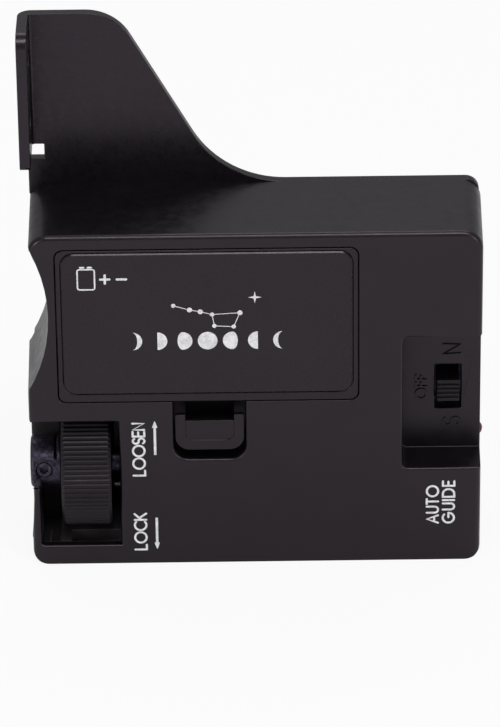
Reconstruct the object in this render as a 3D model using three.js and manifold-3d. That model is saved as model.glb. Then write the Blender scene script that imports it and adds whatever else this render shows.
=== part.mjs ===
// A clip-on right-ascension motor drive that makes a small equatorial telescope mount track the stars.
// A moulded housing on a bent steel bracket holds a 9 V battery, a geared motor, a circuit board and
// a coupler that grips the mount's worm shaft. A knurled wheel on the coupler locks or frees it.
//
// Units are millimetres. +X is right, +Y runs from the front face to the steel back plate, +Z is up.
// The origin is the middle of the bottom face, halfway through the depth.

import * as THREE from "three";
import { mergeVertices } from "three/addons/utils/BufferGeometryUtils.js";
import Module from "manifold-3d";

const wasm = await Module();
wasm.setup();

// ---------------------------------------------------------------- driving dimensions

const HEIGHT = 70;
const HALF_WIDTH = 42.67; // at the front face
const FRONT = -12.25; // y of the front face
const REAR = 10.25; // y where the housing meets the steel plate
const PLATE = 2; // steel thickness
const BACK = REAR + PLATE;
const WALL = 2.2;
const CORNER = 3.8; // upper corner radius, seen from the front
const SOLE_CORNER = 3; // lower corner radius
const EDGE = 1.0; // rounding of the front edge, at the top and the sides
const LEAN = 0.67; // the left side leans in by this much between LEAN_LOW and the top
const LEAN_LOW = 36;
const DRAFT = 0.53; // each side stands out this much more at the rear than at the front
const INSIDE = FRONT + WALL; // y of the front wall's inner face
const OVER = 1; // how far a cutting tool runs past the face it cuts
const BEYOND = 46; // an x past either side, for tools that run out through it
const FIT = 0.2; // gap round a part that drops into an opening
const SKIN = 0.02; // keeps two faces that would coincide just apart

// The scallop in the left side that clears the mount's round body.
const SCALLOP = { x: -70.25, z: 53.3, radius: 31.8, wall: 2 };

// The steel bracket above the housing.
const BRACKET = {
  left: -42.2,
  right: 42.9,
  corner: 2.6,
  top: 105.1,
  slope: THREE.MathUtils.degToRad(60.4), // the sloping edge, from level
  slopeX: -16.88, // a point on the sloping edge
  slopeZ: 90.33,
  topRadius: 9.5,
  footRadius: 20,
};
const FLANGE = {
  inside: -41.32, // x of the face that looks right
  low: 77.9,
  front: -0.5,
  lowCorner: 0.8,
  highCorner: 2.7,
  bend: 2.6,
  slotRight: -39.1, // the relief slot under the bend ends here
  slotHeight: 2.5,
  holeY: 6.5,
  holes: [85.1, 97.5],
  holeRadius: 2.25,
};

// The battery door and its opening.
const DOOR = { left: -37.05, right: 19.62, low: 34.97, high: 67.2, corner: 1.7, thickness: 2 };

// The latch pocket under the door, and the latch in it.
const POCKET = { left: -15.45, right: -1.8, low: 22.6, depth: 8.65, corner: 3, wall: 1.2 };
const LATCH = { low: 24.6, high: 32.1, turnY: -7.6, turnZ: 33.05, turnRadius: 3.2, thickness: 0.9 };

// The bay at the lower left, with the wheel in it.
const BAY = { left: -41, step: -37.6, right: -25.8, low: 4.05, high: 30.8, mouth: 16.5, wall: 1.5 };
const LEFT_BACK = 4; // y of the wall behind the coupler
const BAY_PIN = { left: -39.4, right: -24.8, radius: 1, holeRadius: 1.1, y: 7, z: 6.9 };

// The driveline: everything that turns about the coupler's axis.
const AXIS = { y: -2.55, z: 17.4 };
const WHEEL = { left: -36.9, right: -27.4, radius: 12.4, ridges: 80, ridge: 0.38 };
const COUPLER = { left: -43, radius: 5.07, bore: 3, boreDepth: 11.5 };
const SCREW_TILT = THREE.MathUtils.degToRad(6); // the set screw points this far above -Y

// The gear pair.
const GEAR = { module: 0.5, teeth: 26, left: -23.4, right: -20.4 };
const PINION_TEETH = 14;
const PINION = { y: 3.45, z: 25.4 };

// The switch recess at the right, the guide jack and the status light under it.
const RECESS = { left: 27.8, low: 20.1, high: 48.1, floor: -3.85, wall: 1.5 };
const SWITCH = { left: 34.15, right: 39.2, low: 28.45, high: 37.95, knobHeight: 4.5 };
const JACK = { low: 5, high: 16.8, front: -7, back: -0.4 };
const LIGHT = { y: 1, z: 21.55, radius: 1.5 };
const WINDOW_INSIDE = 38; // tools for the jack and the light start at this x

// The circuit board.
const BOARD = { left: 22.2, right: 39.8, low: 3.5, high: 61.5, front: 4, thickness: 1.6 };
const POST = { radius: 1.9, pilot: 0.95 };
const BOARD_POSTS = [
  [24.3, 24],
  [24.3, 58],
];

// The battery and its tray.
const TRAY = { left: -35.5, right: 20.2, low: 37.4, high: 66.9, front: -10, back: 9.8, wall: 1 };
const BATTERY = { left: -34.2, length: 46.4, low: 38.9, height: 26.5, front: -9.6, depth: 17.5 };

// Countersunk screws through the steel plate, as [x, z].
const PLATE_SCREWS = [
  [-38.2, 65.2],
  [38, 65],
  [-40, 26.5],
  [20.3, 5.8],
];
const BOSS_RADIUS = 2.5;
const SCREW_SHANK = 1.25;
const PILOT = 1.4;

// ---------------------------------------------------------------- solids from three.js geometry

// A three.js geometry as a solid that can be cut and joined.
function solidOf(geometry) {
  const plain = new THREE.BufferGeometry();
  const source = geometry.index ? geometry.toNonIndexed() : geometry;
  plain.setAttribute("position", source.getAttribute("position"));
  const merged = mergeVertices(plain, 1e-4);
  return new wasm.Manifold(
    new wasm.Mesh({
      numProp: 3,
      vertProperties: merged.attributes.position.array,
      triVerts: new Uint32Array(merged.index.array),
    }),
  );
}

function join(solids) {
  return solids.reduce((whole, next) => whole.add(next));
}

function cut(solid, tools) {
  return solid.subtract(join(tools));
}

// A box from x0, y0, z0 to x1, y1, z1.
function box(x0, y0, z0, x1, y1, z1) {
  const geometry = new THREE.BoxGeometry(x1 - x0, y1 - y0, z1 - z0);
  return solidOf(geometry.translate((x0 + x1) / 2, (y0 + y1) / 2, (z0 + z1) / 2));
}

// A round bar along X, from x0 to x1, or a cone when it has two radii.
function barX(radius, x0, x1, y = 0, z = 0, segments = 20, endRadius = radius) {
  const geometry = new THREE.CylinderGeometry(radius, endRadius, x1 - x0, segments);
  return solidOf(geometry.rotateZ(Math.PI / 2).translate((x0 + x1) / 2, y, z));
}

// A round bar along Y, from y0 to y1. A cone when it has two radii, the second at y0.
function barY(radius, y0, y1, x, z, segments = 16, lowRadius = radius) {
  const geometry = new THREE.CylinderGeometry(radius, lowRadius, y1 - y0, segments);
  return solidOf(geometry.translate(x, (y0 + y1) / 2, z));
}

// A ring around the X axis.
function ringX(outer, inner, x0, x1, segments = 24) {
  return barX(outer, x0, x1, 0, 0, segments).subtract(barX(inner, x0 - OVER, x1 + OVER, 0, 0, segments));
}

// A geometry, not yet a solid: an outline in X and Z, run along Y from y0 to y1, with rounded ends
// when it has a bevel.
function prismY(shape, y0, y1, curveSegments = 5, bevel = 0) {
  const geometry = new THREE.ExtrudeGeometry(shape, {
    depth: y1 - y0 - 2 * bevel,
    curveSegments,
    bevelEnabled: bevel > 0,
    bevelThickness: bevel,
    bevelSize: bevel,
    bevelOffset: -bevel,
    bevelSegments: 2,
  });
  return geometry.rotateX(Math.PI / 2).translate(0, y1 - bevel, 0);
}

// An outline in Y and Z, run along X from x0 to x1.
function prismX(shape, x0, x1, curveSegments = 6) {
  const geometry = new THREE.ExtrudeGeometry(shape, { depth: x1 - x0, curveSegments, bevelEnabled: false });
  const turn = new THREE.Matrix4().makeBasis(
    new THREE.Vector3(0, 1, 0),
    new THREE.Vector3(0, 0, 1),
    new THREE.Vector3(1, 0, 0),
  );
  return solidOf(geometry.applyMatrix4(turn).translate(x0, 0, 0));
}

// An outline in X and Y, run along Z from z0 to z1.
function prismZ(shape, z0, z1, curveSegments = 6) {
  const geometry = new THREE.ExtrudeGeometry(shape, { depth: z1 - z0, curveSegments, bevelEnabled: false });
  return solidOf(geometry.translate(0, 0, z0));
}

function polygon(points) {
  return new THREE.Shape(points.map(([u, v]) => new THREE.Vector2(u, v)));
}

// A rectangle with its own radius at each corner, in the order low left, low right, high right, high left.
function roundedRectangle(u0, v0, u1, v1, ...radii) {
  const [a, b, c, d] = radii.length === 1 ? Array(4).fill(radii[0]) : radii;
  const shape = new THREE.Shape();
  shape.moveTo(u0 + a, v0);
  shape.lineTo(u1 - b, v0);
  if (b) shape.absarc(u1 - b, v0 + b, b, -Math.PI / 2, 0);
  shape.lineTo(u1, v1 - c);
  if (c) shape.absarc(u1 - c, v1 - c, c, 0, Math.PI / 2);
  shape.lineTo(u0 + d, v1);
  if (d) shape.absarc(u0 + d, v1 - d, d, Math.PI / 2, Math.PI);
  shape.lineTo(u0, v0 + a);
  if (a) shape.absarc(u0 + a, v0 + a, a, Math.PI, 1.5 * Math.PI);
  return shape;
}

// ---------------------------------------------------------------- materials

function material(color, roughness, metalness = 0) {
  return new THREE.MeshStandardMaterial({ color, roughness, metalness });
}

const blackPlastic = () => material(0x2b282b, 0.5);
const wheelPlastic = () => material(0x232123, 0.55);
const blackSteel = () => material(0x2c292c, 0.42, 0.3);
const brightSteel = () => material(0xb9bcc0, 0.25, 1);
const darkSteel = () => material(0x222224, 0.35, 0.8);
const brass = () => material(0xb8964f, 0.35, 1);

// ---------------------------------------------------------------- housing

// A solid whose sides widen towards the rear by the mould's draft.
function drafted(geometry) {
  const points = geometry.getAttribute("position");
  for (let i = 0; i < points.count; i++) {
    const x = points.getX(i);
    const share = (points.getY(i) - FRONT) / (REAR - FRONT);
    points.setX(i, x + Math.sign(x) * DRAFT * share);
  }
  return solidOf(geometry);
}

// The outer block: front edge rounded at the top and sides, and sharp along the flat bottom.
function housingBlock() {
  const left = LEAN - HALF_WIDTH;
  const outline = new THREE.Shape();
  outline.moveTo(-HALF_WIDTH, -2 * EDGE);
  outline.lineTo(HALF_WIDTH, -2 * EDGE);
  outline.lineTo(HALF_WIDTH, HEIGHT - CORNER);
  outline.absarc(HALF_WIDTH - CORNER, HEIGHT - CORNER, CORNER, 0, Math.PI / 2);
  outline.lineTo(left + CORNER, HEIGHT);
  outline.absarc(left + CORNER, HEIGHT - CORNER, CORNER, Math.PI / 2, Math.PI);
  outline.lineTo(-HALF_WIDTH, LEAN_LOW);
  const wide = HALF_WIDTH + SKIN;
  const sole = roundedRectangle(-wide, 0, wide, HEIGHT + OVER, SOLE_CORNER, SOLE_CORNER, 0, 0);
  const block = drafted(prismY(outline, FRONT, REAR + 2 * EDGE, 5, EDGE));
  return block.intersect(drafted(prismY(sole, FRONT - OVER, REAR)));
}

function scallop(radius) {
  return barY(radius, FRONT - OVER, BACK + OVER, SCALLOP.x, SCALLOP.z, 72);
}

function pocketShape(grow) {
  const { left, right, low, corner } = POCKET;
  const radius = corner + grow;
  return roundedRectangle(left - grow, low - grow, right + grow, DOOR.low + OVER, radius, radius, 0, 0);
}

// Everything inside the hollow that stays solid: the linings of the bay, pocket and recess, and the bosses.
function housingInsides() {
  const pocketBack = FRONT + POCKET.depth + POCKET.wall;
  const grow = POCKET.wall;
  const bosses = PLATE_SCREWS.map(([x, z]) => barY(BOSS_RADIUS, INSIDE - OVER, REAR, x, z));
  const posts = BOARD_POSTS.map(([x, z]) => barY(POST.radius, INSIDE - OVER, BOARD.front - 0.1, x, z));
  return join([
    scallop(SCALLOP.radius + SCALLOP.wall),
    box(-BEYOND, FRONT, -OVER, BAY.right + BAY.wall, REAR + 2 * OVER, BAY.high + BAY.wall),
    box(RECESS.left - RECESS.wall, FRONT, RECESS.low - RECESS.wall, BEYOND, RECESS.floor + RECESS.wall,
      RECESS.high + RECESS.wall),
    solidOf(prismY(pocketShape(grow), FRONT, pocketBack)),
    box(POCKET.left - grow, INSIDE - OVER, DOOR.low, POCKET.right + grow, pocketBack, TRAY.low - FIT),
    ...bosses,
    ...posts,
  ]);
}

// The hollow of the housing, open at the rear.
function housingHollow() {
  const inner = roundedRectangle(WALL - HALF_WIDTH, WALL, HALF_WIDTH - WALL, HEIGHT - WALL, CORNER - WALL);
  return solidOf(prismY(inner, INSIDE, REAR + OVER)).subtract(housingInsides());
}

// The bay: deep where the wheel turns, shallower behind the coupler, open to the left above its low
// wall, with two pits in its floor. The wall's outer face is shaved to lean in.
function bayHollow() {
  const { left, step, right, low, high, mouth } = BAY;
  const pit = { front: FRONT + 1.85, back: FRONT + 6.25, floor: 1.6, left: -35.4, right: -26.2 };
  const rib = box(-39.7, pit.front - OVER, 0, -39.2, pit.back, low);
  const shaved = { low: 5.4, lowX: -42.66, highX: -42.04, high: mouth + 0.5 };
  const outerFace = polygon([
    [-BEYOND, shaved.low],
    [shaved.lowX, shaved.low],
    [shaved.highX, mouth],
    [shaved.highX, shaved.high],
    [-BEYOND, shaved.high],
  ]);
  return join([
    box(left, FRONT - OVER, low, right, LEFT_BACK, high),
    box(step, FRONT - OVER, low, right, REAR + OVER, high),
    box(-BEYOND, FRONT - OVER, mouth, left + OVER, LEFT_BACK, high),
    barX(COUPLER.radius + 0.5, -BEYOND, left + OVER, AXIS.y, AXIS.z, 24),
    box(pit.left, pit.front, pit.floor, pit.right, pit.back, low + FIT),
    box(left, pit.front, pit.floor, step, LEFT_BACK, low + FIT).subtract(rib),
    solidOf(prismY(outerFace, FRONT - OVER, LEFT_BACK)),
  ]);
}

// The guide jack's window in the right wall, with the notch for the plug's clip.
function jackWindow() {
  const { low, high, front, back } = JACK;
  const middle = (low + high) / 2;
  const halfClip = 2.3;
  return join([
    box(WINDOW_INSIDE, front - FIT, low - FIT, BEYOND, back + FIT, high + FIT),
    box(WINDOW_INSIDE, front - 2, middle - halfClip, BEYOND, front, middle + halfClip),
  ]);
}

function frontHousing() {
  const recessCorner = 1.2;
  const pinHole = (x0, x1) => barX(BAY_PIN.holeRadius, x0, x1, BAY_PIN.y, BAY_PIN.z, 12);
  const doorway = roundedRectangle(DOOR.left, DOOR.low, DOOR.right, DOOR.high, DOOR.corner);
  const recess = roundedRectangle(RECESS.left, RECESS.low, BEYOND, RECESS.high, recessCorner, 0, 0, recessCorner);
  return cut(housingBlock(), [
    housingHollow(),
    scallop(SCALLOP.radius),
    bayHollow(),
    barX(3.75, BAY.right - OVER, BAY.right + BAY.wall + OVER, AXIS.y, AXIS.z),
    pinHole(BAY.step - 1.9, BAY.step + OVER),
    pinHole(BAY.right - OVER, BAY.right + 1.2),
    solidOf(prismY(doorway, FRONT - OVER, INSIDE + SKIN)),
    solidOf(prismY(pocketShape(0), FRONT - OVER, FRONT + POCKET.depth)),
    box(POCKET.left, INSIDE - OVER, DOOR.low, POCKET.right, FRONT + POCKET.depth, TRAY.low - 0.5),
    solidOf(prismY(recess, FRONT - OVER, RECESS.floor)),
    box(SWITCH.left, RECESS.floor - OVER, SWITCH.low, SWITCH.right, 0, SWITCH.high),
    jackWindow(),
    barX(LIGHT.radius + 0.15, WINDOW_INSIDE, BEYOND, LIGHT.y, LIGHT.z, 16),
    ...PLATE_SCREWS.map(([x, z]) => barY(PILOT, 4.8, REAR + OVER, x, z, 12)),
    ...BOARD_POSTS.map(([x, z]) => barY(POST.pilot, -1, BOARD.front, x, z, 10)),
  ]);
}

// ---------------------------------------------------------------- steel bracket and its screws

// The back plate with the arm that rises at its left.
function bracketOutline() {
  const { left, right, corner, top, slope, slopeX, slopeZ, topRadius, footRadius } = BRACKET;
  const along = new THREE.Vector2(Math.cos(slope), -Math.sin(slope));
  const outward = new THREE.Vector2(Math.sin(slope), Math.cos(slope));
  const start = new THREE.Vector2(slopeX, slopeZ);
  // The centre of an arc that touches the sloping edge and a level line, on either side of the slope.
  const centre = (level, radius) => {
    const offset = start.clone().addScaledVector(outward, radius);
    return offset.addScaledVector(along, (level - offset.y) / along.y);
  };
  const foot = centre(HEIGHT + footRadius, footRadius);
  const head = centre(top - topRadius, -topRadius);
  const facing = Math.PI / 2 - slope;
  const shape = new THREE.Shape();
  shape.moveTo(left + corner, 0);
  shape.lineTo(right - corner, 0);
  shape.absarc(right - corner, corner, corner, -Math.PI / 2, 0);
  shape.lineTo(right, HEIGHT - corner);
  shape.absarc(right - corner, HEIGHT - corner, corner, 0, Math.PI / 2);
  shape.absarc(foot.x, foot.y, footRadius, 1.5 * Math.PI, Math.PI + facing, true);
  shape.absarc(head.x, head.y, topRadius, facing, Math.PI / 2);
  shape.lineTo(left, top);
  shape.lineTo(left, corner);
  shape.absarc(left + corner, corner, corner, Math.PI, 1.5 * Math.PI);
  return shape;
}

// The flange: an L in plan, bent forward at the left edge, with two screw holes.
function bracketFlange() {
  const { inside, low, front, lowCorner, highCorner, bend, holeY, holes, holeRadius } = FLANGE;
  const outside = inside - PLATE;
  const innerBend = bend - PLATE;
  const plan = new THREE.Shape();
  plan.moveTo(inside + innerBend + 0.5, BACK);
  plan.lineTo(outside + bend, BACK);
  plan.absarc(outside + bend, BACK - bend, bend, Math.PI / 2, Math.PI);
  plan.lineTo(outside, front);
  plan.lineTo(inside, front);
  plan.lineTo(inside, REAR - innerBend);
  plan.absarc(inside + innerBend, REAR - innerBend, innerBend, Math.PI, Math.PI / 2, true);
  plan.lineTo(inside + innerBend + 0.5, REAR);
  const side = roundedRectangle(front, low, BACK + OVER, BRACKET.top, lowCorner, 0, 0, highCorner);
  const drills = holes.map((z) => barX(holeRadius, outside - OVER, inside + OVER, holeY, z, 24));
  const arm = prismZ(plan, low, BRACKET.top);
  return arm.intersect(prismX(side, outside - OVER, FLANGE.slotRight)).subtract(join(drills));
}

function backBracket() {
  const { inside, low, slotRight, slotHeight } = FLANGE;
  const outside = inside - PLATE;
  const plate = solidOf(prismY(bracketOutline(), REAR, BACK, 8));
  const relief = box(outside - OVER, REAR - OVER, low - slotHeight, slotRight, BACK + OVER, low + 0.5);
  const edge = box(outside - OVER, REAR - OVER, low, inside + 0.6, BACK + OVER, BRACKET.top + OVER);
  const sinks = PLATE_SCREWS.map(([x, z]) =>
    barY(1.7, REAR - OVER, BACK, x, z).add(barY(3.15, BACK - 1.55, BACK + 0.01, x, z, 16, 1.6)),
  );
  return cut(plate, [scallop(SCALLOP.radius), edge, ...sinks]).add(bracketFlange()).subtract(relief);
}

// A cross recess for a driver, as a tool that cuts from y0 to y1.
function crossRecess(size, y0, y1, x, z) {
  const half = size / 2;
  const arm = size / 6;
  return box(x - half, y0, z - arm, x + half, y1, z + arm).add(box(x - arm, y0, z - half, x + arm, y1, z + half));
}

// A countersunk screw seen from behind, its head just under the plate's rear face.
function plateScrew([x, z]) {
  const headTop = BACK - 0.12;
  const head = barY(2.85, headTop - 1.4, headTop, x, z, 16, 1.35);
  const shank = barY(SCREW_SHANK, 5, headTop - 1.2, x, z, 12);
  return head.add(shank).subtract(crossRecess(3, headTop - 0.9, BACK, x, z));
}

// A small pan-head screw that holds the circuit board on a post.
function boardScrew([x, z]) {
  const seat = BOARD.front + BOARD.thickness + 0.05;
  const head = barY(1.5, seat, seat + 1.2, x, z, 16, 1.9);
  const shank = barY(0.85, 0, seat + 0.2, x, z, 10);
  return head.add(shank).subtract(crossRecess(2, seat + 0.6, seat + 2, x, z));
}

// ---------------------------------------------------------------- battery door and latch

const DOOR_PLATE = {
  left: DOOR.left + FIT,
  right: DOOR.right - FIT,
  low: DOOR.low + FIT,
  high: DOOR.high - FIT,
};
const LABEL = { side: 1, top: 0.6, bottom: 1.75, corner: 2.4, depth: 0.3, thickness: 0.5 };

function labelShape(grow) {
  const { left, right, low, high } = DOOR_PLATE;
  const { side, top, bottom, corner } = LABEL;
  return roundedRectangle(left + side - grow, low + bottom - grow, right - side + grow, high - top + grow,
    corner + grow);
}

// A quarter of the latch's U-turn, in Y and Z, between two angles.
function turnSector(from, to) {
  const { turnY, turnZ, turnRadius, thickness } = LATCH;
  const shape = new THREE.Shape();
  shape.absarc(turnY, turnZ, turnRadius + thickness / 2, from, to);
  shape.absarc(turnY, turnZ, turnRadius - thickness / 2, to, from, true);
  return shape;
}

const LATCH_ARM = { left: -13.2, right: -4 };
const HALF_GAP = THREE.MathUtils.degToRad(3.5); // the open pivot in the middle of the U-turn

// The door plate, its hooks under the top edge, and the upper half of the latch's spring arm.
function batteryDoor() {
  const { left, right, low, high } = DOOR_PLATE;
  const inner = FRONT + DOOR.thickness;
  const { turnY, turnZ, turnRadius, thickness } = LATCH;
  const armZ = turnZ + turnRadius;
  const plate = solidOf(
    prismY(roundedRectangle(left, low, right, high, DOOR.corner - FIT), FRONT, inner),
  );
  const arm = box(LATCH_ARM.left, inner - 0.1, armZ - thickness / 2, LATCH_ARM.right, turnY + 0.01,
    armZ + thickness / 2);
  const turn = prismX(turnSector(HALF_GAP, Math.PI / 2), LATCH_ARM.left, LATCH_ARM.right);
  const hooks = [-30, 10].flatMap((x) => [
    box(x, inner - 0.1, 66.4, x + 4, -9.3, high),
    box(x, INSIDE + 0.13, 66.4, x + 4, -9.3, 67.65),
  ]);
  const sink = solidOf(prismY(labelShape(0.1), FRONT - OVER, FRONT + LABEL.depth));
  return join([plate, arm, turn, ...hooks]).subtract(sink);
}

function doorLabel() {
  const back = FRONT + LABEL.depth - SKIN;
  return solidOf(prismY(labelShape(0), back - LABEL.thickness, back));
}

// The finger pad and the lower half of its spring arm.
function doorLatch() {
  const { low, high, turnY, turnZ, turnRadius, thickness } = LATCH;
  const left = POCKET.left + 0.35;
  const right = POCKET.right - 0.35;
  const front = FRONT + 0.15;
  const back = front + 1.2;
  const armZ = turnZ - turnRadius;
  const pad = solidOf(prismY(roundedRectangle(left, low, right, high, 2.7, 2.7, 0.3, 0.3), front, back));
  const gap = box(LATCH_ARM.left, front - OVER, 30.7, LATCH_ARM.right, back + 0.01, high + OVER);
  const dish = roundedRectangle(LATCH_ARM.left, 26.6, LATCH_ARM.right, 32, 1.6, 1.6, 0, 0);
  const arm = box(LATCH_ARM.left, back - 0.2, armZ - thickness / 2, LATCH_ARM.right, turnY + 0.01,
    armZ + thickness / 2);
  const turn = prismX(turnSector(-Math.PI / 2, -HALF_GAP), LATCH_ARM.left, LATCH_ARM.right);
  const hook = box(-11, back - 0.1, low + 0.5, -6.2, back + 0.9, low + 1.5);
  const cuts = [gap, solidOf(prismY(dish, front - OVER, front + 0.3))];
  return cut(pad, cuts).add(join([arm, turn, hook]));
}

// ---------------------------------------------------------------- battery and tray

function batteryTray() {
  const { left, right, low, high, front, back, wall } = TRAY;
  const rim = 0.8;
  const latchGap = box(POCKET.left - 1.5, front - OVER, 35, POCKET.right + 1.5, front + OVER, low);
  const hookGaps = [-30, 10].map((x) => box(x - 0.5, front - OVER, 64, x + 4.5, -8.8, high + OVER));
  const whole = join([
    box(left, front, low, right, back, high),
    box(left - 0.1, front, 35.6, right, front + rim, high),
  ]);
  return cut(whole, [
    box(left + wall, front - OVER, low + wall, right - wall, back - wall, high - wall),
    box(right - 2 * wall, -4, 48, right + OVER, 4, 58), // the leads pass here
    latchGap,
    ...hookGaps,
  ]);
}

const TERMINAL = { y: -0.85, lowZ: 45.8, highZ: 58.5, length: 2.5 };

function batteryBlock() {
  const { left, length, low, height, front, depth } = BATTERY;
  const right = left + length;
  const section = roundedRectangle(front, low, front + depth, low + height, 2.2);
  const stud = barX(2.9, right - 0.1, right + TERMINAL.length, TERMINAL.y, TERMINAL.lowZ, 16);
  const socket = barX(4, right - 0.1, right + TERMINAL.length, TERMINAL.y, TERMINAL.highZ, 16);
  const cup = barX(2.8, right + 0.4, right + 4, TERMINAL.y, TERMINAL.highZ, 16);
  return join([prismX(section, left, right, 4), stud, socket]).subtract(cup);
}

// The snap cap that grips the battery's two terminals.
function batterySnap() {
  const face = BATTERY.left + BATTERY.length + 0.4;
  const section = roundedRectangle(TERMINAL.y - 6, 40, TERMINAL.y + 6, 64.6, 5.5);
  const caves = [
    barX(3.3, face - OVER, face + 2.8, TERMINAL.y, TERMINAL.lowZ, 16),
    barX(4.4, face - OVER, face + 2.8, TERMINAL.y, TERMINAL.highZ, 16),
  ];
  return cut(prismX(section, face, face + 4.6, 5), caves);
}

function batteryFoam() {
  const top = BATTERY.front + BATTERY.depth;
  return box(-30, top + 0.1, 42, 8, top + 0.8, 62);
}

// ---------------------------------------------------------------- driveline, about its own X axis

// Hex socket tool pointing along Y.
function hexSocket(acrossFlats, y0, y1, x, z) {
  return barY(acrossFlats / Math.sqrt(3), y0, y1, x, z, 6);
}

// Turns a solid about the driveline's axis.
function turned(solid, angle) {
  return solid.rotate([THREE.MathUtils.radToDeg(angle), 0, 0]);
}

const SET_SCREW_X = -40.35;

// The coupler: a sleeve with a bore for the mount's worm shaft, a saw cut and a threaded hole.
function couplerSleeve() {
  const { left, radius, bore, boreDepth } = COUPLER;
  const shoulder = WHEEL.left - 0.3;
  const end = -30.3;
  const body = join([
    barX(radius - 0.4, left, left + 0.4, 0, 0, 36, radius),
    barX(radius, left + 0.4, shoulder, 0, 0, 36),
    barX(4.5, shoulder - 0.1, end, 0, 0, 36),
  ]);
  const hole = barY(1.6, -8, 0, SET_SCREW_X, 0, 16);
  return cut(body, [
    barX(bore, left - OVER, left + boreDepth, 0, 0, 24),
    box(-38.42, -8, 2.6, -37.97, 8, 8),
    turned(hole, -SCREW_TILT),
  ]);
}

function couplerSetScrew() {
  const tip = -COUPLER.radius + 0.25;
  const screw = barY(1.45, tip, tip + 1.7, SET_SCREW_X, 0, 16);
  return turned(screw.subtract(hexSocket(1.5, tip - OVER, tip + 1.1, SET_SCREW_X, 0)), -SCREW_TILT);
}

// The knurled wheel: straight ridges along its rim and a bore over the sleeve.
function lockWheel() {
  const { left, right, radius, ridges, ridge } = WHEEL;
  const points = [];
  for (let i = 0; i < 2 * ridges; i++) {
    const r = i % 2 ? radius - ridge : radius;
    const angle = (i * Math.PI) / ridges;
    points.push([r * Math.cos(angle), r * Math.sin(angle)]);
  }
  return prismX(polygon(points), left, right).subtract(barX(4.75, left - OVER, right + OVER, 0, 0, 36));
}

// The drive shaft, with the clutch disc that the wheel presses on the coupler.
function driveShaft() {
  return join([
    barX(4.4, -29.7, -28.3, 0, 0, 24),
    barX(2.5, -28.4, -20.3, 0, 0, 20),
    barX(1.45, -20.4, -18.7, 0, 0, 16),
  ]);
}

function gearOutline(teeth, firstTooth) {
  const pitch = (GEAR.module * teeth) / 2;
  const tip = pitch + 0.8 * GEAR.module;
  const root = pitch - 1.2 * GEAR.module;
  const halfTooth = (Math.PI * GEAR.module) / 4 - 0.07;
  const lean = Math.tan(THREE.MathUtils.degToRad(20));
  const points = [];
  for (let i = 0; i < teeth; i++) {
    const middle = firstTooth + (i * 2 * Math.PI) / teeth;
    for (const [r, side] of [[root, -1], [tip, -1], [tip, 1], [root, 1]]) {
      const angle = middle + (side * (halfTooth - (r - pitch) * lean)) / r;
      points.push([r * Math.cos(angle), r * Math.sin(angle)]);
    }
  }
  return polygon(points);
}

// A tooth of the main gear points at the pinion, and a gap of the pinion points back.
const MESH_ANGLE = Math.atan2(PINION.z - AXIS.z, PINION.y - AXIS.y);

function mainGear() {
  const gear = prismX(gearOutline(GEAR.teeth, MESH_ANGLE), GEAR.left, GEAR.right);
  return gear.subtract(barX(2.55, GEAR.left - OVER, GEAR.right + OVER));
}

function outputPinion() {
  const firstTooth = MESH_ANGLE + Math.PI + Math.PI / PINION_TEETH;
  const gear = prismX(gearOutline(PINION_TEETH, firstTooth), GEAR.left, GEAR.right);
  return gear.add(barX(1.45, GEAR.left - 0.4, -16.6, 0, 0, 16));
}

// The cross pin low in the bay, behind the wheel.
function bayPin() {
  const { left, right, radius, y, z } = BAY_PIN;
  return barX(radius, left, right, y, z, 16);
}

function frontBush() {
  const seat = BAY.right + BAY.wall + 0.05;
  return ringX(3.6, 2.6, BAY.right - 0.2, seat + 0.1).add(ringX(4.5, 2.6, seat, seat + 0.45));
}

// ---------------------------------------------------------------- motor

const GEARBOX = { left: -18.4, right: -6.4, halfY: 5, halfZ: 6 };
const GEAR_PLATE = { left: -19.8, right: -18.6 };

function gearPlate() {
  const { left, right } = GEAR_PLATE;
  const side = roundedRectangle(-8.4, 2.4, 9.4, 32.4, 0, 0, 2, 2);
  return cut(join([prismX(side, left, right), box(left, -8.4, 2.4, -9, 9.4, 3.6)]), [
    barX(3, left - OVER, right + OVER, AXIS.y, AXIS.z),
    barX(1.7, left - OVER, right + OVER, PINION.y, PINION.z, 16),
  ]);
}

function gearPlateScrew() {
  const geometry = new THREE.CylinderGeometry(1.6, 1.9, 1.3, 20).rotateX(Math.PI / 2);
  const head = solidOf(geometry.translate(-13, 0, 4.35));
  return head.subtract(box(-14.2, -0.25, 4.4, -11.8, 0.25, 6));
}

function gearbox() {
  const { left, right, halfY, halfZ } = GEARBOX;
  const section = roundedRectangle(-halfY, -halfZ, halfY, halfZ, 0.8);
  return prismX(section, left, right, 3).subtract(barX(1.7, left - OVER, left + 2.2, 0, 0, 16));
}

// The motor can: a drum with two flats.
function motorCan() {
  const left = GEARBOX.right + 0.1;
  return barX(6, left, left + 15, 0, 0, 32).intersect(box(left - OVER, -5, -8, left + 16, 5, 8));
}

function motorCap() {
  const left = GEARBOX.right + 15.2;
  const tabs = [-3, 3].map((y) => box(left + 1, y - 0.25, -1, left + 2.6, y + 0.25, 1));
  return join([barX(4.8, left, left + 1.2), ...tabs]);
}

// ---------------------------------------------------------------- electronics

function circuitBoard() {
  const { left, right, low, high, front, thickness } = BOARD;
  const cornerScrew = PLATE_SCREWS[3];
  return cut(box(left, front, low, right, front + thickness, high), [
    barY(BOSS_RADIUS + 0.5, front - OVER, front + 3, cornerScrew[0], cornerScrew[1]),
    ...BOARD_POSTS.map(([x, z]) => barY(1, front - OVER, front + 3, x, z, 12)),
  ]);
}

function controllerChip() {
  const pins = [];
  for (let i = 0; i < 6; i++) {
    const z = 51.9 + 1.27 * i;
    pins.push(box(26.7, 3.5, z, 35.1, BOARD.front - 0.05, z + 0.45));
  }
  return join([box(27.6, 2.2, 51.2, 34.2, 3.7, 59.4), ...pins]);
}

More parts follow.
